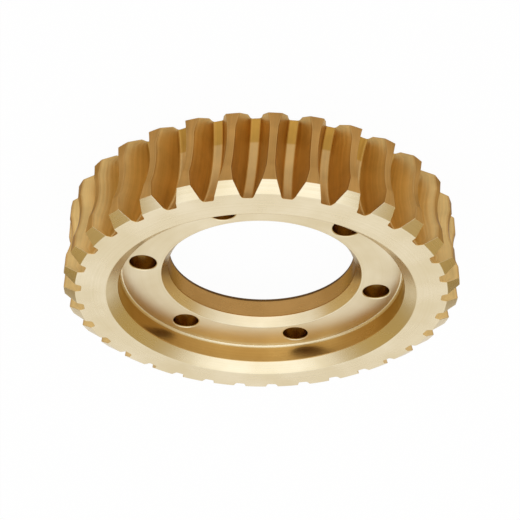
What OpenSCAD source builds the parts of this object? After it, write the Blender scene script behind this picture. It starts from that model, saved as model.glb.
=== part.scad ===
// Bronze worm wheel: a one-piece throated gear ring with a bolted web and a plain bore.
// The wheel axis is Z. The origin is on that axis, in the middle of the face width,
// where the worm passes. A tooth space and a bolt hole are centred on +X.

/* [Teeth] */
// Axial module of the matching worm
module_mm = 5; // [4:0.25:6]
// Number of teeth on the wheel
teeth = 32; // [28:1:40]
// Number of thread starts on the matching worm
starts = 1; // [1:1:2]
// Pitch diameter of the matching worm
worm_pitch_d = 70; // [62:1:80]
// Height of the teeth above the pitch circle at the throat, in modules
tip_factor = 1; // [0.8:0.02:1.1]
// Depth of the tooth spaces below the pitch circle, in modules
root_factor = 1.28; // [1.1:0.02:1.4]
// Width of a tooth space at its bottom, in modules
bottom_factor = 0.8; // [0.6:0.02:0.9]
// Round in the bottom corners of a tooth space, in modules
round_factor = 0.2; // [0.1:0.02:0.3]
// Slope of the tooth flanks
flank_angle = 23.5; // [20:0.5:26]

/* [Rim] */
// Width of the rim along the axis
face_w = 39.5; // [34:0.5:44]
// Height of the rim beside the throat, above the throat
shoulder_h = 1.6; // [0.6:0.1:3]
// Height of the sloped ends of the teeth, along the radius
end_slope_h = 5.4; // [3:0.1:7]
// Angle of the sloped ends from the side face
end_slope_angle = 32; // [20:1:45]
// Thickness of the rim between the tooth spaces and the recess
rim_t = 10.85; // [8:0.05:14]

/* [Web] */
// Thickness of the web
web_t = 14; // [10:0.5:18]
// Width of the web between the recess wall and the bore
web_w = 21.25; // [18:0.25:26]
// Round between the recess wall and the web
recess_round = 1.25; // [0.5:0.25:2.5]
// Width of the chamfer at the mouth of each recess
mouth_chamfer_w = 5.25; // [2:0.25:7]
// Depth of the chamfer at the mouth of each recess
mouth_chamfer_h = 4.25; // [2:0.25:6]
// Width of the chamfer at the upper end of the bore
bore_chamfer_w = 3; // [1:0.25:4]
// Depth of the chamfer at the upper end of the bore
bore_chamfer_h = 4.25; // [1:0.25:5]
// Broken edge at the lower end of the bore
bore_edge = 0.5; // [0.2:0.1:1]

/* [Bolt holes] */
// Number of bolt holes
bolt_count = 6; // [3:1:8]
// Distance of the bolt circle from the bore
bolt_inset = 11.5; // [10:0.25:12]
// Diameter of each bolt hole
bolt_hole_d = 11.5; // [6:0.5:12.5]
// Chamfer at both ends of each bolt hole
bolt_chamfer = 0.5; // [0.2:0.1:1]

/* [Hidden] */
bronze = "#d9bd86";
curve_fn = 144;
past = 1;

// Worm and wheel in mesh
pitch_r = module_mm * teeth / 2;
worm_r = worm_pitch_d / 2;
centre_distance = pitch_r + worm_r;
lead_angle = atan(module_mm * starts / worm_pitch_d);
throat_r = worm_r - module_mm * tip_factor;

// The thread that cuts a tooth space: its crest reaches the bottom of the space
crest_r = worm_r + module_mm * root_factor;
crest_half_w = module_mm * bottom_factor / 2;
crest_round = module_mm * round_factor;
crest_flat = crest_half_w + crest_round * (tan(flank_angle) - 1 / cos(flank_angle));
thread_inner_r = throat_r - 2 * shoulder_h;
thread_sweep = 150;

// Radii and heights of the turned blank
outside_r = centre_distance - throat_r + shoulder_h;
recess_r = centre_distance - crest_r - rim_t;
bore_r = recess_r - web_w;
bolt_circle_r = bore_r + bolt_inset;
half_face = face_w / 2;
half_web = web_t / 2;
end_slope_z = end_slope_h * tan(end_slope_angle);

// Half the width of the thread at a distance r from the worm's axis
function thread_half_w(r) = crest_half_w + (crest_r - r) * tan(flank_angle);

// Outline of the blank on one side of the middle plane, from the bore out to the rim
function side_outline(bore_cut_w, bore_cut_h) = [
    [bore_r, half_web - bore_cut_h],
    [bore_r + bore_cut_w, half_web],
    [recess_r - recess_round, half_web],
    [recess_r - recess_round, half_web + recess_round],
    [recess_r, half_web + recess_round],
    [recess_r, half_face - mouth_chamfer_h],
    [recess_r + mouth_chamfer_w, half_face],
    [outside_r - end_slope_h, half_face],
    [outside_r, half_face - end_slope_z]
];

// Section of the turned blank: radius along X, axis along Y
module blank_section() {
    upper = side_outline(bore_chamfer_w, bore_chamfer_h);
    lower = side_outline(bore_edge, bore_edge);
    last = len(lower) - 1;
    difference() {
        polygon(concat(upper, [for (i = [0 : last]) [lower[last - i].x, -lower[last - i].y]]));
        for (side = [-1, 1])
            translate([recess_r - recess_round, side * (half_web + recess_round)])
                circle(r = recess_round, $fn = curve_fn);
        translate([centre_distance, 0]) circle(r = throat_r, $fn = curve_fn);
    }
}

// Section of the worm thread: distance from the worm's axis along X
module thread_section() {
    flank_end_x = crest_r - crest_round * (1 - sin(flank_angle));
    flank_end_y = crest_flat + crest_round * cos(flank_angle);
    polygon([
        [thread_inner_r, thread_half_w(thread_inner_r)],
        [flank_end_x, flank_end_y],
        [crest_r, crest_flat],
        [crest_r, -crest_flat],
        [flank_end_x, -flank_end_y],
        [thread_inner_r, -thread_half_w(thread_inner_r)]
    ]);
    for (side = [-1, 1])
        translate([crest_r - crest_round, side * crest_flat])
            circle(r = crest_round, $fn = curve_fn);
}

// One tooth space on +X: the worm thread swept about the worm's axis at the lead angle
module tooth_space() {
    translate([centre_distance, 0, 0])
        rotate([-90 - lead_angle, 0, 0])
            rotate_extrude(angle = thread_sweep, start = 180 - thread_sweep / 2, $fn = curve_fn)
                thread_section();
}

// One bolt hole on +X, chamfered at both faces of the web
module bolt_hole() {
    hole_r = bolt_hole_d / 2;
    flare = bolt_chamfer + past;
    translate([bolt_circle_r, 0, 0])
        rotate_extrude($fn = curve_fn)
            polygon([
                [0, -half_web - past],
                [hole_r + flare, -half_web - past],
                [hole_r, -half_web + bolt_chamfer],
                [hole_r, half_web - bolt_chamfer],
                [hole_r + flare, half_web + past],
                [0, half_web + past]
            ]);
}

module worm_wheel() {
    color(bronze)
        difference() {
            rotate_extrude($fn = curve_fn) blank_section();
            for (i = [0 : teeth - 1])
                rotate(i * 360 / teeth) tooth_space();
            for (i = [0 : bolt_count - 1])
                rotate(i * 360 / bolt_count) bolt_hole();
        }
}

worm_wheel();
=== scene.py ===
# %% [markdown]
# # Bronze worm wheel
# A worm wheel is the large gear of a worm drive. This one is a ring of tin bronze, turned on
# a lathe and then hobbed: a hob shaped like the worm sinks into the rim and cuts every tooth
# space. The ring lies flat, with a wide recess on each side and a thin web that a hub bolts to.
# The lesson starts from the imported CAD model, which fixes where everything is.

# %% Load the frame
import math

import bpy
import numpy as np
from mathutils import Matrix, Vector


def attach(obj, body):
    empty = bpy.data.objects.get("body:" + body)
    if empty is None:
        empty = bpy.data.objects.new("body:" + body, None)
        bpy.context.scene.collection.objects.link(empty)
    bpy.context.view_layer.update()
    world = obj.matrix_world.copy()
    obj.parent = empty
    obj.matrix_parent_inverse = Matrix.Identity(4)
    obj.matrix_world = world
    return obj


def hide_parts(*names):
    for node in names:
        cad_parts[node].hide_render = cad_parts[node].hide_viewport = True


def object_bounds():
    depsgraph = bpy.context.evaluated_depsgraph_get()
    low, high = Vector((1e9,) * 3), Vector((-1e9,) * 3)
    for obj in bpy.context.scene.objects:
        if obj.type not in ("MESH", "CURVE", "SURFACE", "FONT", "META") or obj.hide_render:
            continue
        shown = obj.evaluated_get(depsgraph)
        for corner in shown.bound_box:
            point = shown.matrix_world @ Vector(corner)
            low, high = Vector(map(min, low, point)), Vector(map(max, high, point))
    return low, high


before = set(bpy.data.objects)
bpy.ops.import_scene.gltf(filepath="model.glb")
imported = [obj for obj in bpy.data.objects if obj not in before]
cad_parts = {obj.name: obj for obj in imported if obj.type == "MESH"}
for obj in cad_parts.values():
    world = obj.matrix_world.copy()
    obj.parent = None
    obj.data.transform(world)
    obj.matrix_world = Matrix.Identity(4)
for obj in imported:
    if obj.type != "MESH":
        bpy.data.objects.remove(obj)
cad_box = [list(corner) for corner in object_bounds()]

# %% [markdown]
# ## Sizes
# The part's source drives the shape from a few sizes in millimetres. The same sizes are
# written here once, because the fine mesh below follows the same rules as the solid. The
# scene adds three of its own: the small rounds on the edges, and the dark band at the bore's lower edge.

# %% Sizes of the wheel
MM = 0.001
TEETH = 32
AXIAL_MODULE = 5.0
WORM_RADIUS = 35.0
THREAD_DEPTH = 6.4
SPACE_BOTTOM = 4.0
SPACE_ROUND = 1.0
FLANK_ANGLE = math.radians(23.5)
FACE_WIDTH = 39.5
SHOULDER = 1.6
SLOPE_HEIGHT = 5.4
SLOPE_ANGLE = math.radians(32)
RIM_THICKNESS = 10.85
WEB_THICKNESS = 14.0
WEB_WIDTH = 21.25
RECESS_ROUND = 1.25
MOUTH_WIDTH = 5.25
MOUTH_DEPTH = 4.25
BORE_CHAMFER_WIDTH = 3.0
BORE_CHAMFER_DEPTH = 4.25
BORE_EDGE = 0.5
BOLTS = 6
BOLT_INSET = 11.5
BOLT_RADIUS = 5.75
BOLT_CHAMFER = 0.5

EDGE_ROUND = 0.3
TIP_ROUND = 0.15
# How far up the bore wall a darker band runs from its lower edge.
BORE_DARK_BAND = 0.8

PITCH_RADIUS = AXIAL_MODULE * TEETH / 2
CENTRE_DISTANCE = PITCH_RADIUS + WORM_RADIUS
LEAD_ANGLE = math.atan(AXIAL_MODULE / (2 * WORM_RADIUS))
THROAT_ROUND = WORM_RADIUS - AXIAL_MODULE
CREST_RADIUS = WORM_RADIUS + THREAD_DEPTH
OUTSIDE_RADIUS = CENTRE_DISTANCE - THROAT_ROUND + SHOULDER
RECESS_RADIUS = CENTRE_DISTANCE - CREST_RADIUS - RIM_THICKNESS
BORE_RADIUS = RECESS_RADIUS - WEB_WIDTH
BOLT_CIRCLE = BORE_RADIUS + BOLT_INSET
HALF_FACE = FACE_WIDTH / 2
HALF_WEB = WEB_THICKNESS / 2
HALF_PITCH = math.pi / TEETH
print(f"outside {2 * OUTSIDE_RADIUS:.1f} mm, recess {2 * RECESS_RADIUS:.1f}, bore {2 * BORE_RADIUS:.1f}")

# %% [markdown]
# ## Camera
# The picture was taken looking down at the ring, and then turned over, so the near teeth
# are at the top. The camera stands at the matching angle and is rolled by half a turn.

# %% Camera
IMAGE_SIDE = 520
FOCAL_PIXELS = 1256.3
SENSOR_WIDTH = 36.0
NEAREST_SEEN = 0.01
CAMERA_DISTANCE = 563.4
CAMERA_ELEVATION = math.radians(32.738)
CAMERA_ROLL = math.radians(-0.815)
WHEEL_TURN = math.radians(48.3)
AIM_SIDEWAYS = 0.743
AIM_HEIGHT = -2.32

right = Vector((math.cos(WHEEL_TURN), -math.sin(WHEEL_TURN), 0))
away = Vector((math.sin(WHEEL_TURN), math.cos(WHEEL_TURN), 0))
back = Vector((0, 0, math.sin(CAMERA_ELEVATION))) - away * math.cos(CAMERA_ELEVATION)
up = back.cross(right)
aim = right * AIM_SIDEWAYS + Vector((0, 0, AIM_HEIGHT))
axes = Matrix((right, up, back)).transposed()
turned_over = (axes @ Matrix.Rotation(math.pi - CAMERA_ROLL, 3, "Z")).to_quaternion()
camera_data = bpy.data.cameras.new("photo_camera")
camera_data.sensor_width = SENSOR_WIDTH
camera_data.lens = FOCAL_PIXELS / IMAGE_SIDE * SENSOR_WIDTH
camera_data.clip_start = NEAREST_SEEN
camera = bpy.data.objects.new("photo_camera", camera_data)
bpy.context.collection.objects.link(camera)
camera.matrix_world = Matrix.LocRotScale((aim + back * CAMERA_DISTANCE) * MM, turned_over, None)
bpy.context.scene.camera = camera
print(f"camera: {camera_data.lens:.1f} mm lens, {CAMERA_DISTANCE:.0f} mm away")

# %% [markdown]
# ## One tooth space
# The hob leaves a groove that curves round the worm, wide at the tips and narrow at the
# bottom, and it leans by the worm's lead angle. A slice across the wheel at one height is a
# flat outline: half a tooth tip, a flank, the bottom, the other flank and the next half tip.
# Stacking such outlines from face to face gives one pitch of the rim. Doing it with numbers
# keeps every edge exactly where the solid has it, and lets each edge carry a small round,
# which a real deburred edge has and which catches the light.

# %% Levels of the rim from face to face
CORNER_STEPS = 3
THROAT_LEVELS, SHOULDER_LEVELS, SLOPE_LEVELS = 8, 4, 4
SLOPE_FOOT = HALF_FACE - SLOPE_HEIGHT * math.tan(SLOPE_ANGLE)


def bend(start, corner, end, steps):
    """Points of a small round that replaces a corner, without its first point."""
    t = np.linspace(0, 1, steps + 1)[1:, None]
    start, corner, end = (np.asarray(p, float) for p in (start, corner, end))
    return (1 - t) ** 2 * start + 2 * t * (1 - t) * corner + t ** 2 * end


def slope_radius(height):
    """Radius of the sloped tooth ends at a height."""
    return OUTSIDE_RADIUS - (height - SLOPE_FOOT) / math.tan(SLOPE_ANGLE)


# A level is a height, the radius of the tooth tips there, and how far its outline is drawn in.
throat_end = math.sqrt(THROAT_ROUND ** 2 - (CENTRE_DISTANCE - OUTSIDE_RADIUS) ** 2)
levels = [(h, CENTRE_DISTANCE - math.sqrt(THROAT_ROUND ** 2 - h ** 2), 0.0)
          for h in np.linspace(0, throat_end, THROAT_LEVELS)]
levels += [(h, OUTSIDE_RADIUS, 0.0)
           for h in np.linspace(throat_end, SLOPE_FOOT - EDGE_ROUND, SHOULDER_LEVELS)[1:]]
slope_start = SLOPE_FOOT + EDGE_ROUND * math.sin(SLOPE_ANGLE)
slope_edge = bend((SLOPE_FOOT - EDGE_ROUND, OUTSIDE_RADIUS), (SLOPE_FOOT, OUTSIDE_RADIUS),
                  (slope_start, slope_radius(slope_start)), CORNER_STEPS)
levels += [(h, r, 0.0) for h, r in slope_edge]
levels += [(h, slope_radius(h), 0.0)
           for h in np.linspace(slope_start, HALF_FACE - TIP_ROUND, SLOPE_LEVELS)[1:]]
# The edge of the face takes the tips' round: a deeper inset would fold the tip corners over.
for angle in np.linspace(0, math.pi / 2, CORNER_STEPS + 1)[1:]:
    height = HALF_FACE - TIP_ROUND * (1 - math.sin(angle))
    levels.append((height, slope_radius(height), TIP_ROUND * (1 - math.cos(angle))))
levels = [(-h, r, inset) for h, r, inset in levels[:0:-1]] + levels
print(len(levels), "levels from face to face")

# %% Section of the hob
CREST_FLAT = SPACE_BOTTOM / 2 + SPACE_ROUND * (math.tan(FLANK_ANGLE) - 1 / math.cos(FLANK_ANGLE))
FLANK_START = CREST_RADIUS - SPACE_ROUND * (1 - math.sin(FLANK_ANGLE))


def thread_point(reach, offset, height):
    """Where a point of the hob's section, reach from the hob's axis, cuts the wheel at a height."""
    y = (offset + height * math.sin(LEAD_ANGLE)) / math.cos(LEAD_ANGLE)
    depth = y * math.sin(LEAD_ANGLE) + height * math.cos(LEAD_ANGLE)
    return np.array((CENTRE_DISTANCE - math.sqrt(reach ** 2 - depth ** 2), y))


def flank_point(reach, side, height):
    half_width = SPACE_BOTTOM / 2 + (CREST_RADIUS - reach) * math.tan(FLANK_ANGLE)
    return thread_point(reach, side * half_width, height)


print(f"hob: {2 * CREST_FLAT:.2f} mm flat at its crest, flanks from a radius of {FLANK_START:.2f} mm")

# %% Half of an outline
BOTTOM_STEPS, ROUND_STEPS, FLANK_STEPS, LAND_STEPS = 2, 3, 9, 3
SEARCH_MARGIN, HALVINGS, NUDGE = 4, 50, 0.01


def tip_reach(side, height, tip_radius):
    """How far from the hob's axis a flank ends in the tooth tip, found by halving a range."""
    low, high = THROAT_ROUND - SEARCH_MARGIN, FLANK_START
    for _ in range(HALVINGS):
        reach = (low + high) / 2
        if np.hypot(*flank_point(reach, side, height)) > tip_radius:
            low = reach
        else:
            high = reach
    return reach


def half_outline(side, height, tip_radius):
    """From the middle of the space's bottom to the middle of the tooth tip on one side."""
    points = [thread_point(CREST_RADIUS, side * CREST_FLAT * k / BOTTOM_STEPS, height)
              for k in range(BOTTOM_STEPS + 1)]
    for k in range(1, ROUND_STEPS + 1):
        a = k / ROUND_STEPS * (math.pi / 2 - FLANK_ANGLE)
        points.append(thread_point(CREST_RADIUS - SPACE_ROUND * (1 - math.cos(a)),
                                   side * (CREST_FLAT + SPACE_ROUND * math.sin(a)), height))
    reach = tip_reach(side, height, tip_radius)
    tip = flank_point(reach, side, height)
    run = flank_point(reach + NUDGE, side, height) - tip
    before = reach + TIP_ROUND * NUDGE / np.hypot(*run)
    for k in range(1, FLANK_STEPS + 1):
        points.append(flank_point(FLANK_START + (before - FLANK_START) * k / FLANK_STEPS, side, height))
    start = math.atan2(tip[1], tip[0]) + side * TIP_ROUND / tip_radius
    end = height * math.tan(LEAD_ANGLE) / PITCH_RADIUS + side * HALF_PITCH
    land_angles = np.linspace(start, end, LAND_STEPS + 1)
    land = [tip_radius * np.array((math.cos(a), math.sin(a))) for a in land_angles]
    points += list(bend(points[-1], tip, land[0], CORNER_STEPS))
    return np.array(points + land[1:])


middle_half = half_outline(1, *levels[len(levels) // 2][:2])
print("half of the middle outline:", len(middle_half), "points")

# %% Whole outlines
def turned(points, angle):
    c, s = math.cos(angle), math.sin(angle)
    return points @ np.array(((c, s), (-s, c)))


def outline(height, tip_radius, inset):
    """One pitch of the rim at a height, drawn in by an inset where the face's edge is rounded."""
    low, high = half_outline(-1, height, tip_radius), half_outline(1, height, tip_radius)
    points = np.concatenate((low[:0:-1], high))
    if inset:
        before, after = turned(points[-2:-1], -2 * HALF_PITCH), turned(points[1:2], 2 * HALF_PITCH)
        ring = np.concatenate((before, points, after))
        run = ring[2:] - ring[:-2]
        run /= np.hypot(*run.T)[:, None]
        points = points + inset * np.stack((-run[:, 1], run[:, 0]), -1)
    return points


rim = np.array([[(*p, h) for p in outline(h, r, inset)] for h, r, inset in levels])
# The run across the profile, from the middle of the space's bottom, places the hob's streaks.
profile_steps = np.linalg.norm(np.diff(rim[len(levels) // 2], axis=0), axis=1)
profile_run = np.concatenate(([0], np.cumsum(profile_steps)))
profile_run = abs(profile_run - profile_run[-1] / 2)
TIP_RUN = profile_run[-1 - LAND_STEPS]
print("one pitch of the rim:", rim.shape[0], "outlines of", rim.shape[1], "points")

# %% [markdown]
# ## Turned hub side
# Everything inside the rim is turned on a lathe: the mouth chamfer, the recess wall with a
# round at its foot, the flat web and the bore. A lathe shape is a profile swept round the
# axis. The bolt holes break that sweep, so a sixth of the ring with one hole in its middle
# is made as a flat web with a hole, and strips that follow the profile.

# %% Profiles of the turned hub side
FOOT_STEPS = 7
BESIDE_EDGE = 2 * EDGE_ROUND


def eased(corners):
    """A profile of straight runs whose corners are all softened by the edge round."""
    corners = np.array(corners, float)
    points = [corners[0]]
    for before, here, after in zip(corners, corners[1:], corners[2:]):
        start = here + (before - here) / np.hypot(*(before - here)) * EDGE_ROUND
        end = here + (after - here) / np.hypot(*(after - here)) * EDGE_ROUND
        points += [start, *bend(start, here, end, CORNER_STEPS)]
    return np.array(points + [corners[-1]])


mouth_top = RECESS_RADIUS + MOUTH_WIDTH
FACE_INNER = mouth_top + BESIDE_EDGE
mouth = eased([(FACE_INNER, HALF_FACE), (mouth_top, HALF_FACE),
               (RECESS_RADIUS, HALF_FACE - MOUTH_DEPTH), (RECESS_RADIUS, HALF_WEB + RECESS_ROUND)])
foot = np.linspace(0, math.pi / 2, FOOT_STEPS + 1)[1:]
recess_foot = np.stack((RECESS_RADIUS - RECESS_ROUND * (1 - np.cos(foot)),
                        HALF_WEB + RECESS_ROUND * (1 - np.sin(foot))), -1)
recess_profile = np.concatenate((mouth, recess_foot))

bore_top, bore_low = BORE_RADIUS + BORE_CHAMFER_WIDTH, BORE_RADIUS + BORE_EDGE
bore_profile = eased([(bore_top + BESIDE_EDGE, HALF_WEB), (bore_top, HALF_WEB),
                      (BORE_RADIUS, HALF_WEB - BORE_CHAMFER_DEPTH),
                      (BORE_RADIUS, BORE_EDGE + BORE_DARK_BAND - HALF_WEB),
                      (BORE_RADIUS, BORE_EDGE - HALF_WEB),
                      (bore_low, -HALF_WEB), (bore_low + BESIDE_EDGE, -HALF_WEB)])

hole_wide = BOLT_RADIUS + BOLT_CHAMFER
hole_profile = eased([(hole_wide + BESIDE_EDGE, HALF_WEB), (hole_wide, HALF_WEB),
                      (BOLT_RADIUS, HALF_WEB - BOLT_CHAMFER), (BOLT_RADIUS, BOLT_CHAMFER - HALF_WEB),
                      (hole_wide, -HALF_WEB), (hole_wide + BESIDE_EDGE, -HALF_WEB)])
for name, profile in (("recess", recess_profile), ("bore", bore_profile), ("hole", hole_profile)):
    print(len(profile), "points in the profile of the", name)

# %% [markdown]
# ## Sector meshes
# One pitch of the rim and one sixth of the hub side become two small meshes. Each face keeps
# the number of its zone, so that one finish can go on the turned faces and another on the
# hobbed teeth. The rim's outline and the mouth's circle have different numbers of points, so
# a zip of triangles joins them: the faces there are flat, and triangles don't show.

# %% Mesh builder
FACES, SLOPES, TIPS, FLANKS, RECESS, WEB, BORE, HOLES, DARK_BAND = range(9)


class Sector:
    """Points and faces of one sector, with a zone number for each face."""

    def __init__(self):
        self.points, self.faces, self.zones, self.run = [], [], [], []

    def row(self, points, run=None):
        """Adds a row of points and gives their numbers; run is their place across the profile."""
        first = len(self.points)
        self.points += [tuple(p) for p in points]
        self.run += list(np.zeros(len(points)) if run is None else run)
        return list(range(first, len(self.points)))

    def face(self, corners, zone, turn):
        self.faces.append(corners[::-1] if turn else corners)
        self.zones.append(zone)

    def strips(self, rows, zone_of, turn=False):
        """Quads between neighbouring rows; zone_of gives the zone of a strip and a step in it."""
        for j, (a, b) in enumerate(zip(rows, rows[1:])):
            for i in range(len(a) - 1):
                self.face((a[i], a[i + 1], b[i + 1], b[i]), zone_of(j, i), turn)

    def zip(self, a, b, place_a, place_b, zone, turn):
        """Triangles between two rows of different counts, walked by their places along the way."""
        i = j = 0
        while i < len(a) - 1 or j < len(b) - 1:
            step_a = j == len(b) - 1 or (i < len(a) - 1 and place_a[i + 1] <= place_b[j + 1])
            self.face((a[i], a[i + 1] if step_a else b[j + 1], b[j]), zone, turn)
            i, j = (i + 1, j) if step_a else (i, j + 1)

    def mesh_object(self, name):
        mesh = bpy.data.meshes.new(name)
        mesh.from_pydata([tuple(c * MM for c in p) for p in self.points], [], self.faces)
        mesh.attributes.new("zone", "INT", "FACE").data.foreach_set("value", self.zones)
        mesh.attributes.new("profile_run", "FLOAT", "POINT").data.foreach_set("value", self.run)
        made = bpy.data.objects.new(name, mesh)
        bpy.context.collection.objects.link(made)
        return made


print("zones are numbered from", FACES, "to", DARK_BAND)

# %% Rim sector
AROUND = 192
rim_sector = Sector()
rim_rows = [rim_sector.row(points, profile_run) for points in rim]
space_steps = BOTTOM_STEPS + ROUND_STEPS + FLANK_STEPS
outline_steps = rim.shape[1] - 1
level_heights = [h for h, _, _ in levels]


def rim_zone(level, step):
    from_middle = abs(step + 0.5 - outline_steps / 2)
    if from_middle < space_steps:
        return FLANKS
    middle = abs(level_heights[level] + level_heights[level + 1]) / 2
    return SLOPES if middle > SLOPE_FOOT else TIPS


rim_sector.strips(rim_rows, rim_zone)
inner_angles = np.linspace(-HALF_PITCH, HALF_PITCH, AROUND // TEETH + 1)
for end_row, z in ((rim_rows[-1], HALF_FACE), (rim_rows[0], -HALF_FACE)):
    inner = rim_sector.row([(FACE_INNER * math.cos(a), FACE_INNER * math.sin(a), z) for a in inner_angles])
    ends = np.array([rim_sector.points[k][:2] for k in end_row])
    places = np.unwrap(np.arctan2(ends[:, 1], ends[:, 0]))
    places = (places - places[0]) / (places[-1] - places[0])
    rim_sector.zip(end_row, inner, places, np.linspace(0, 1, len(inner)), FACES, turn=z < 0)
rim_object = rim_sector.mesh_object("rim_pitch")
print("rim sector:", len(rim_sector.faces), "faces")

# %% Turned strips of the hub sector
hub_sector = Sector()
half_sixth = math.pi / BOLTS
sweep = np.linspace(-half_sixth, half_sixth, AROUND // BOLTS + 1)
# An eased profile has one strip for each straight run and CORNER_STEPS strips for each corner.
# These are the strips that follow its second, third and fourth runs.
chamfer_end, wall_end, edge_end = (run * (CORNER_STEPS + 1) + 1 for run in (1, 2, 3))


def swept(profile):
    return [hub_sector.row([(r * math.cos(a), r * math.sin(a), z) for a in sweep]) for r, z in profile]


def recess_zone(strip, _step):
    return RECESS if chamfer_end <= strip < wall_end else FACES


def bore_zone(strip, _step):
    upper_part = FACES if strip < chamfer_end else BORE
    lower_part = DARK_BAND if strip < edge_end + CORNER_STEPS + 1 else WEB
    return upper_part if strip < wall_end else lower_part


upper, lower = swept(recess_profile), swept(recess_profile * (1, -1))
bore = swept(bore_profile)
hub_sector.strips(upper, recess_zone)
hub_sector.strips(lower, recess_zone, turn=True)
hub_sector.strips(bore, bore_zone)
print("turned strips:", len(hub_sector.faces), "faces")

# %% Bolt hole and web of the hub sector
HOLE_STEPS = 64
spin = np.linspace(0, 2 * math.pi, HOLE_STEPS + 1)


def hole_zone(strip, _step):
    return HOLES if chamfer_end <= strip < edge_end - 1 else WEB


hole = []
for r, z in hole_profile:
    ring = hub_sector.row([(BOLT_CIRCLE + r * math.cos(a), r * math.sin(a), z) for a in spin[:-1]])
    hole.append(ring + ring[:1])
hub_sector.strips(hole, hole_zone)
for rim_row, bore_row, hole_row, turn in ((upper[-1], bore[0], hole[0], False),
                                          (lower[-1], bore[-1], hole[-1], True)):
    loop = rim_row + bore_row[::-1]
    loop_xy = np.array([hub_sector.points[k][:2] for k in loop]) - (BOLT_CIRCLE, 0)
    loop_angles = np.arctan2(loop_xy[:, 1], loop_xy[:, 0]) % (2 * math.pi)
    first = int(np.argmin(loop_angles))
    loop = loop[first:] + loop[:first]
    loop_angles = np.roll(loop_angles, -first)
    loop_angles = np.append(loop_angles, loop_angles[0] + 2 * math.pi)
    hub_sector.zip(loop + loop[:1], hole_row, loop_angles, spin, WEB, turn)
hub_object = hub_sector.mesh_object("hub_sixth")
print("hub sector:", len(hub_sector.faces), "faces")

# %% [markdown]
# ## Finishes
# All of it is one metal, bare tin bronze, but each machine leaves its own surface. The lathe
# leaves fine rings that stretch highlights across them, so turned faces look silky. The pale
# base colour of the faces and web is a painted highlight, and the darker colour of the bolt
# holes is painted shade.
# The hob leaves streaks along each tooth, and the deep spaces between the teeth pass light
# from flank to flank, which makes them a warmer brown. Both patterns are drawn by nodes from
# the place on the wheel in millimetres, so they need no picture and no unwrapping.

# %% Colour and node helpers
MIX_SHARE, MIX_FIRST, MIX_SECOND, MIX_RESULT = 0, 6, 7, 2


def linear(hex_colour):
    """An sRGB hex value as the linear colour that a shader takes."""
    parts = [int(hex_colour[i:i + 2], 16) / 255 for i in (1, 3, 5)]
    return [c / 12.92 if c <= 0.04045 else ((c + 0.055) / 1.055) ** 2.4 for c in parts] + [1.0]


def add_node(tree, kind, settings=None, inputs=None):
    """One node with its settings; an input that is another node's socket becomes a link."""
    made = tree.nodes.new(kind)
    for name, value in (settings or {}).items():
        setattr(made, name, value)
    for socket, value in (inputs or {}).items():
        if isinstance(value, bpy.types.NodeSocket):
            tree.links.new(value, made.inputs[socket])
        else:
            made.inputs[socket].default_value = value
    return made


def bare_material(name):
    material = bpy.data.materials.new(name)
    material.use_nodes = True
    material.node_tree.nodes.clear()
    return material, material.node_tree


def in_millimetres(tree):
    """The place on the wheel in millimetres, whole and as x, y and z."""
    place = add_node(tree, "ShaderNodeTexCoord").outputs["Object"]
    whole = add_node(tree, "ShaderNodeVectorMath", {"operation": "SCALE"}, {0: place, "Scale": 1 / MM})
    parts = add_node(tree, "ShaderNodeSeparateXYZ", None, {0: whole.outputs[0]})
    return whole.outputs[0], *parts.outputs


print("half grey in linear light:", round(linear("#808080")[0], 3))

# %% Turned tin bronze
CLOUD_MM = 22.0
RING_SHARE = 0.3
TONE_RANGE = {"From Min": 0.42, "From Max": 0.88}
ROUGH_SPREAD = 0.04


def turned_bronze(name, pale, deep, roughness, ring_mm=0.9, graze="#ffffff"):
    """Lathe rings: a pattern of radius and height only, the same all the way round."""
    material, tree = bare_material(name)
    place, x, y, z = in_millimetres(tree)
    flat = add_node(tree, "ShaderNodeCombineXYZ", None, {0: x, 1: y})
    radius = add_node(tree, "ShaderNodeVectorMath", {"operation": "LENGTH"}, {0: flat.outputs[0]})
    section = add_node(tree, "ShaderNodeCombineXYZ", None, {0: radius.outputs["Value"], 1: z})
    # The real feed is about 0.2 mm. Drawn coarser, the rings still show as a silky grain.
    rings = add_node(tree, "ShaderNodeTexNoise", {"noise_dimensions": "2D"},
                     {"Vector": section.outputs[0], "Scale": 1 / ring_mm, "Detail": 3.0, "Roughness": 0.6})
    # Handling and washing leave soft clouds, which keep a wide face from looking printed.
    cloud = add_node(tree, "ShaderNodeTexNoise", None,
                     {"Vector": place, "Scale": 1 / CLOUD_MM, "Detail": 3.0})
    tone = add_node(tree, "ShaderNodeMath", {"operation": "MULTIPLY_ADD"},
                    {0: rings.outputs[0], 1: RING_SHARE, 2: cloud.outputs[0]})
    spread = add_node(tree, "ShaderNodeMapRange", None, {0: tone.outputs[0], **TONE_RANGE})
    colour = add_node(tree, "ShaderNodeMix", {"data_type": "RGBA"},
                      {MIX_SHARE: spread.outputs[0], MIX_FIRST: linear(pale), MIX_SECOND: linear(deep)})
    rough = add_node(tree, "ShaderNodeMapRange", None,
                     {0: tone.outputs[0], **TONE_RANGE,
                      "To Min": roughness - ROUGH_SPREAD, "To Max": roughness + ROUGH_SPREAD})
    bump = add_node(tree, "ShaderNodeBump", None,
                    {"Height": rings.outputs[0], "Strength": 0.06, "Distance": 0.00006})
    # The rings spread light across themselves, so a highlight fans out from the axis. A film of
    # oil or oxide keeps a grazing view darker, which the graze colour gives.
    grain = add_node(tree, "ShaderNodeTangent", {"direction_type": "RADIAL", "axis": "Z"})
    metal = add_node(tree, "ShaderNodeBsdfPrincipled", None,
                     {"Base Color": colour.outputs[MIX_RESULT], "Metallic": 1.0,
                      "Roughness": rough.outputs[0], "Anisotropic": 0.45, "Specular Tint": linear(graze),
                      "Normal": bump.outputs[0], "Tangent": grain.outputs[0]})
    add_node(tree, "ShaderNodeOutputMaterial", None, {"Surface": metal.outputs[0]})
    return material


# The pale colours of the faces and web are a painted highlight, lighter than the metal's own colour.
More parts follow.
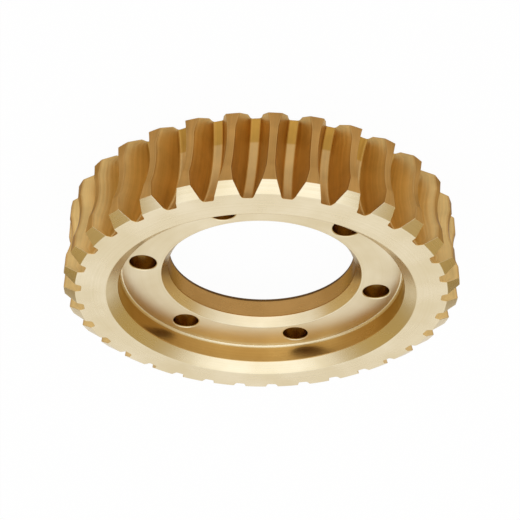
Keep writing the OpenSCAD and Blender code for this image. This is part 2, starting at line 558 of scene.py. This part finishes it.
face_painted_highlight_finish = turned_bronze("turned_bronze_face_painted_highlight", "#eadcbd", "#ddcca6", 0.27)
web_painted_highlight_finish = turned_bronze("turned_bronze_web_painted_highlight", "#eadcbd", "#ddcca6", 0.36)
recess_finish = turned_bronze("turned_bronze_recess", "#d4b276", "#c19b5d", 0.3, graze="#d6c8a6")
bore_finish = turned_bronze("bored_bronze", "#c4985b", "#b18549", 0.28, graze="#b5aa9c")
# The bolt holes' darker colour is painted shade inside the holes.
hole_painted_shade_finish = turned_bronze("drilled_bronze_painted_shade", "#b28c4b", "#947036", 0.2, ring_mm=0.6)
# The lowest part of the bore wall and its lower edge are drawn as a dark band.
dark_band_finish = turned_bronze("dark_band_bronze", "#765730", "#5b4122", 0.5)
print("nodes in a turned finish:", len(face_painted_highlight_finish.node_tree.nodes))

# %% Which tooth, and where on it
STREAK_DRIFT = 0.015
TOOTH_SHIFT = 7.3


def along_the_tooth(tree, run, x, y, z):
    """A place whose pattern runs along each tooth space and differs from one space to the next."""
    angle = add_node(tree, "ShaderNodeMath", {"operation": "ARCTAN2"}, {0: y, 1: x})
    upright = add_node(tree, "ShaderNodeMath", {"operation": "MULTIPLY_ADD"},
                       {0: z, 1: -math.tan(LEAD_ANGLE) / PITCH_RADIUS, 2: angle.outputs[0]})
    pitches = add_node(tree, "ShaderNodeMath", {"operation": "DIVIDE"},
                       {0: upright.outputs[0], 1: 2 * HALF_PITCH})
    nearest = add_node(tree, "ShaderNodeMath", {"operation": "ROUND"}, {0: pitches.outputs[0]})
    number = add_node(tree, "ShaderNodeMath", {"operation": "FLOORED_MODULO"},
                      {0: nearest.outputs[0], 1: TEETH})
    along = add_node(tree, "ShaderNodeMath", {"operation": "MULTIPLY"}, {0: z, 1: STREAK_DRIFT})
    apart = add_node(tree, "ShaderNodeMath", {"operation": "MULTIPLY"},
                     {0: number.outputs[0], 1: TOOTH_SHIFT})
    where = add_node(tree, "ShaderNodeCombineXYZ", None,
                     {0: run, 1: along.outputs[0], 2: apart.outputs[0]})
    return where.outputs[0]


print(f"the streaks of neighbouring spaces are read {TOOTH_SHIFT} mm apart in one pattern")

# %% Hobbed tin bronze
TOOTH_CLOUD_MM = 9.0
STREAK_SHARE = 1.2
BOTTOM_ENDS, FLANK_BEGINS = 1.4, 3.2
BEFORE_TIP, PAST_TIP = 1.2, 0.2
# Heights between which the painted reflection band in the roots fades in.
REFLECTION_BAND_BEGINS, REFLECTION_BAND_FULL = -9.9, -10.7


def hobbed_bronze(name, bottom, reflection_band_tone, flank, tip, roughness, streak_mm, flank_graze, tip_graze):
    """Cutting streaks that run along each tooth, from the sector's own run across the profile."""
    material, tree = bare_material(name)
    place, x, y, z = in_millimetres(tree)
    run = add_node(tree, "ShaderNodeAttribute", {"attribute_name": "profile_run"}).outputs["Fac"]
    # Each tooth of the hob leaves a narrow flat, and the flats show as streaks along the flank.
    streaks = add_node(tree, "ShaderNodeTexNoise", None,
                       {"Vector": along_the_tooth(tree, run, x, y, z), "Scale": 1 / streak_mm,
                        "Detail": 3.0, "Roughness": 0.55})
    cloud = add_node(tree, "ShaderNodeTexNoise", None,
                     {"Vector": place, "Scale": 1 / TOOTH_CLOUD_MM, "Detail": 3.0})
    # The hob's crest burnishes the bottom and its flanks cut clean, while the tips keep a dull skin.
    on_flank = add_node(tree, "ShaderNodeMapRange", None,
                        {0: run, "From Min": BOTTOM_ENDS, "From Max": FLANK_BEGINS})
    on_tip = add_node(tree, "ShaderNodeMapRange", None,
                      {0: run, "From Min": TIP_RUN - BEFORE_TIP, "From Max": TIP_RUN + PAST_TIP})
    # Painted reflection: the lower ends of the spaces are painted yellower, a band at a fixed height that
    # stands for an edge of the surroundings seen in the roots.
    painted_reflection_line = add_node(tree, "ShaderNodeMapRange", None,
                        {0: z, "From Min": REFLECTION_BAND_BEGINS, "From Max": REFLECTION_BAND_FULL})
    colour = linear(bottom)
    for share, next_colour in ((painted_reflection_line, reflection_band_tone), (on_flank, flank), (on_tip, tip)):
        colour = add_node(tree, "ShaderNodeMix", {"data_type": "RGBA"},
                          {MIX_SHARE: share.outputs[0], MIX_FIRST: colour,
                           MIX_SECOND: linear(next_colour)}).outputs[MIX_RESULT]
    tone = add_node(tree, "ShaderNodeMath", {"operation": "MULTIPLY_ADD"},
                    {0: streaks.outputs[0], 1: STREAK_SHARE, 2: cloud.outputs[0]})
    shade = add_node(tree, "ShaderNodeMapRange", None,
                     {0: tone.outputs[0], "From Min": 0.75, "From Max": 1.45,
                      "To Min": 0.82, "To Max": 1.14})
    shaded = add_node(tree, "ShaderNodeVectorMath", {"operation": "SCALE"},
                      {0: colour, "Scale": shade.outputs[0]})
    rough = add_node(tree, "ShaderNodeMapRange", None,
                     {0: streaks.outputs[0], "From Min": 0.3, "From Max": 0.7,
                      "To Min": roughness - 0.05, "To Max": roughness + 0.07})
    bump = add_node(tree, "ShaderNodeBump", None,
                    {"Height": streaks.outputs[0], "Strength": 0.2, "Distance": 0.0004})
    # The tips' skin also darkens a grazing view, so a tooth that turns away ends in a brown line.
    film = add_node(tree, "ShaderNodeMix", {"data_type": "RGBA"},
                    {MIX_SHARE: on_tip.outputs[0], MIX_FIRST: linear(flank_graze),
                     MIX_SECOND: linear(tip_graze)})
    metal = add_node(tree, "ShaderNodeBsdfPrincipled", None,
                     {"Base Color": shaded.outputs[0], "Metallic": 1.0, "Roughness": rough.outputs[0],
                      "Specular Tint": film.outputs[MIX_RESULT], "Normal": bump.outputs[0]})
    add_node(tree, "ShaderNodeOutputMaterial", None, {"Surface": metal.outputs[0]})
    return material


# The second colour, for the lower ends of the spaces, is a painted reflection.
tooth_finish = hobbed_bronze("hobbed_bronze", bottom="#cfaa70", reflection_band_tone="#bc9146", flank="#dbb97a",
                             tip="#b98d51", roughness=0.33, streak_mm=1.5,
                             flank_graze="#f2ead8", tip_graze="#c8beae")
print("nodes in the hobbed finish:", len(tooth_finish.node_tree.nodes))

# %% The finish of each zone
FINISHES = {FACES: face_painted_highlight_finish, SLOPES: face_painted_highlight_finish, TIPS: tooth_finish, FLANKS: tooth_finish,
            RECESS: recess_finish, WEB: web_painted_highlight_finish, BORE: bore_finish, HOLES: hole_painted_shade_finish,
            DARK_BAND: dark_band_finish}
print(len({m.name for m in FINISHES.values()}), "finishes")

# %% [markdown]
# ## Repeating the sectors
# Geometry Nodes turn one pitch into the whole rim and one sixth into the whole hub side. Points
# are made on the axis, each gets the sector turned by its share of a full turn, and the copies
# are made real and welded into one closed skin.

# %% Geometry Nodes tree
COMPARE_A, COMPARE_B = 2, 3
tree = bpy.data.node_groups.new("wheel_from_sectors", "GeometryNodeTree")
for name, kind in (("Pitch sector", "NodeSocketObject"), ("Teeth", "NodeSocketInt"),
                   ("Hub sector", "NodeSocketObject"), ("Bolt holes", "NodeSocketInt"),
                   ("Weld distance", "NodeSocketFloat")):
    tree.interface.new_socket(name, in_out="INPUT", socket_type=kind)
tree.interface.new_socket("Geometry", in_out="OUTPUT", socket_type="NodeSocketGeometry")
given = add_node(tree, "NodeGroupInput").outputs


def repeated(sector, count):
    """A sector copied round the axis, as often as the count says."""
    shape = add_node(tree, "GeometryNodeObjectInfo", None, {"Object": sector})
    points = add_node(tree, "GeometryNodePoints", None, {"Count": count})
    number = add_node(tree, "GeometryNodeInputIndex").outputs[0]
    share = add_node(tree, "ShaderNodeMath", {"operation": "DIVIDE"}, {0: 2 * math.pi, 1: count})
    turn = add_node(tree, "ShaderNodeMath", {"operation": "MULTIPLY"}, {0: number, 1: share.outputs[0]})
    rotation = add_node(tree, "ShaderNodeCombineXYZ", None, {2: turn.outputs[0]})
    copies = add_node(tree, "GeometryNodeInstanceOnPoints", None,
                      {"Points": points.outputs[0], "Instance": shape.outputs["Geometry"],
                       "Rotation": rotation.outputs[0]})
    return copies.outputs[0]


rim_copies = repeated(given["Pitch sector"], given["Teeth"])
hub_copies = repeated(given["Hub sector"], given["Bolt holes"])
joined = add_node(tree, "GeometryNodeJoinGeometry")
for copies in (hub_copies, rim_copies):
    tree.links.new(copies, joined.inputs[0])
real = add_node(tree, "GeometryNodeRealizeInstances", None, {0: joined.outputs[0]})
welded = add_node(tree, "GeometryNodeMergeByDistance", None,
                  {"Geometry": real.outputs[0], "Distance": given["Weld distance"]})
shape = add_node(tree, "GeometryNodeSetShadeSmooth", None, {"Geometry": welded.outputs[0]}).outputs[0]
zone = add_node(tree, "GeometryNodeInputNamedAttribute", {"data_type": "INT"}, {"Name": "zone"})
for number, finish in FINISHES.items():
    chosen = add_node(tree, "FunctionNodeCompare", {"data_type": "INT", "operation": "EQUAL"},
                      {COMPARE_A: zone.outputs[0], COMPARE_B: number})
    shape = add_node(tree, "GeometryNodeSetMaterial", None,
                     {"Geometry": shape, "Selection": chosen.outputs[0], "Material": finish}).outputs[0]
add_node(tree, "NodeGroupOutput", None, {0: shape})
print(len(tree.nodes), "nodes in the tree")

# %% Make the wheel a plain mesh
WELD_DISTANCE = 2e-6
FLAT_FACE_WEIGHT = 80
seed_mesh = bpy.data.meshes.new("worm_wheel_ring")
wheel = bpy.data.objects.new("worm_wheel_ring", seed_mesh)
bpy.context.collection.objects.link(wheel)
maker = wheel.modifiers.new("wheel_from_sectors", "NODES")
maker.node_group = tree
settings = {"Pitch sector": rim_object, "Teeth": TEETH, "Hub sector": hub_object, "Bolt holes": BOLTS,
            "Weld distance": WELD_DISTANCE}
for item in tree.interface.items_tree:
    if item.in_out == "INPUT":
        maker[item.identifier] = settings[item.name]
# Wide faces get the say over the normals, so they stay flat up to their small edge rounds.
evened = wheel.modifiers.new("even_normals", "WEIGHTED_NORMAL")
evened.mode = "FACE_AREA"
evened.weight = FLAT_FACE_WEIGHT
depsgraph = bpy.context.evaluated_depsgraph_get()
final_mesh = bpy.data.meshes.new_from_object(wheel.evaluated_get(depsgraph), depsgraph=depsgraph)
wheel.modifiers.clear()
wheel.data = final_mesh
bpy.data.meshes.remove(seed_mesh)
for helper in (rim_object, hub_object):
    helper_mesh = helper.data
    bpy.data.objects.remove(helper)
    bpy.data.meshes.remove(helper_mesh)
final_mesh.name = "worm_wheel_ring"
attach(wheel, "root")
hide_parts("worm_wheel")
triangles = sum(len(face.vertices) - 2 for face in final_mesh.polygons)
print(f"wheel: {len(final_mesh.vertices)} points, {triangles} triangles,",
      len(final_mesh.materials), "finishes")

# %% [markdown]
# ## Floor, light and world
# The picture has a plain white ground. The floor is a pale sheet that looks white to the
# camera and in the metal, and it keeps a faint shadow. A metal shows what is around it, so
# the world is a soft studio: bright overhead, calmer towards the horizon, and with a dim warm
# wall on each side, which the side teeth and slopes of the real wheel reflect.

# %% Floor
FLOOR_REACH = 3.0
FLOOR_GAP = 0.0002
WHITE_TO_CAMERA = 0.97
WHITE_IN_METAL = 0.4
floor_z = cad_box[0][2] - FLOOR_GAP
floor_mesh = bpy.data.meshes.new("floor")
corners = [(x * FLOOR_REACH, y * FLOOR_REACH, floor_z) for x, y in ((-1, -1), (1, -1), (1, 1), (-1, 1))]
floor_mesh.from_pydata(corners, [], [(0, 1, 2, 3)])
floor = bpy.data.objects.new("floor", floor_mesh)
bpy.context.collection.objects.link(floor)
# Matt white studio paper: part of it glows for the camera, and the rest takes the shadow.
floor_finish, tree = bare_material("white_studio_floor")
sheet = add_node(tree, "ShaderNodeBsdfDiffuse", None, {"Color": linear("#f4f4f4")})
glow = add_node(tree, "ShaderNodeEmission", None, {"Color": linear("#ffffff"), "Strength": 1.0})
ray = add_node(tree, "ShaderNodeLightPath").outputs
mirrored = add_node(tree, "ShaderNodeMath", {"operation": "MAXIMUM"},
                    {0: ray["Is Glossy Ray"], 1: ray["Is Transmission Ray"]})
in_metal = add_node(tree, "ShaderNodeMath", {"operation": "MULTIPLY"},
                    {0: mirrored.outputs[0], 1: WHITE_IN_METAL})
white = add_node(tree, "ShaderNodeMath", {"operation": "MULTIPLY_ADD"},
                 {0: ray["Is Camera Ray"], 1: WHITE_TO_CAMERA, 2: in_metal.outputs[0]})
ground = add_node(tree, "ShaderNodeMixShader", None,
                  {0: white.outputs[0], 1: sheet.outputs[0], 2: glow.outputs[0]})
add_node(tree, "ShaderNodeOutputMaterial", None, {"Surface": ground.outputs[0]})
floor_mesh.materials.append(floor_finish)
print("floor at", round(floor_z / MM, 2), "mm")

# %% World
ROOM_LEVEL = 1.15
EXTRA_BEHIND_CAMERA = 0.3
world = bpy.data.worlds.new("soft_studio")
bpy.context.scene.world = world
world.use_nodes = True
tree = world.node_tree
tree.nodes.clear()
direction = add_node(tree, "ShaderNodeTexCoord").outputs["Generated"]
# How far a direction of the world points up, away from the camera, and to either side.
toward = {}
for name, axis in (("up", (0, 0, 1)), ("away", away), ("right", right)):
    toward[name] = add_node(tree, "ShaderNodeVectorMath", {"operation": "DOT_PRODUCT"},
                            {0: direction, 1: axis}).outputs["Value"]
toward["side"] = add_node(tree, "ShaderNodeMath", {"operation": "ABSOLUTE"},
                          {0: toward["right"]}).outputs[0]
# Where each change of the room begins and ends along one of these.
fade = {}
for name, along, begins, ends in (("sky", "up", 0.0, 0.6), ("ceiling", "up", 0.62, 0.88),
                                  ("wall edge", "side", 0.44, 0.58), ("wall front", "away", -0.35, -0.05),
                                  ("wall top", "up", 0.93, 0.78), ("curtain", "up", 0.2, 0.42),
                                  ("far curtain", "side", 0.62, 0.78), ("behind", "away", -0.5, -0.8)):
    fade[name] = add_node(tree, "ShaderNodeMapRange", {"interpolation_type": "SMOOTHSTEP"},
                          {0: toward[along], "From Min": begins, "From Max": ends}).outputs[0]
fade["walls"] = fade["wall edge"]
for other in ("wall front", "wall top"):
    fade["walls"] = add_node(tree, "ShaderNodeMath", {"operation": "MULTIPLY"},
                             {0: fade["walls"], 1: fade[other]}).outputs[0]
paint = {"horizon": linear("#d8d2c2"), "sky": linear("#f0f0f0"), "ceiling": linear("#f3f8ff"),
         "curtain foot": linear("#84703f"), "curtain": linear("#ad9551"), "far curtain": linear("#c2aa78")}
for made, share, first, second in (("sky", "sky", "horizon", "sky"), ("sky", "ceiling", "sky", "ceiling"),
                                   ("curtain", "curtain", "curtain foot", "curtain"),
                                   ("curtain", "far curtain", "curtain", "far curtain"),
                                   ("room", "walls", "sky", "curtain")):
    paint[made] = add_node(tree, "ShaderNodeMix", {"data_type": "RGBA"},
                           {MIX_SHARE: fade[share], MIX_FIRST: paint[first],
                            MIX_SECOND: paint[second]}).outputs[MIX_RESULT]
level = add_node(tree, "ShaderNodeMath", {"operation": "MULTIPLY_ADD"},
                 {0: fade["behind"], 1: EXTRA_BEHIND_CAMERA, 2: ROOM_LEVEL})
studio = add_node(tree, "ShaderNodeBackground", None,
                  {"Color": paint["room"], "Strength": level.outputs[0]})
add_node(tree, "ShaderNodeOutputWorld", None, {"Surface": studio.outputs[0]})
print(len(tree.nodes), "nodes in the world")

# %% Lamp
LAMP_HEIGHT = 0.9
LAMP_TOWARDS_CAMERA = 0.15
lamp_place = Vector((0, 0, LAMP_HEIGHT)) - away * LAMP_TOWARDS_CAMERA
lamp_data = bpy.data.lights.new("overhead_softbox", "AREA")
lamp_data.shape = "RECTANGLE"
lamp_data.size, lamp_data.size_y = 0.9, 0.6
lamp_data.energy = 0.5
lamp = bpy.data.objects.new("overhead_softbox", lamp_data)
bpy.context.collection.objects.link(lamp)
lamp.location = lamp_place
lamp.rotation_mode = "QUATERNION"
lamp.rotation_quaternion = (-lamp_place).to_track_quat("-Z", "Y")
bpy.context.scene.view_settings.view_transform = "Standard"
print(f"softbox of {lamp_data.energy:.1f} W, {LAMP_HEIGHT:.1f} m above the wheel")
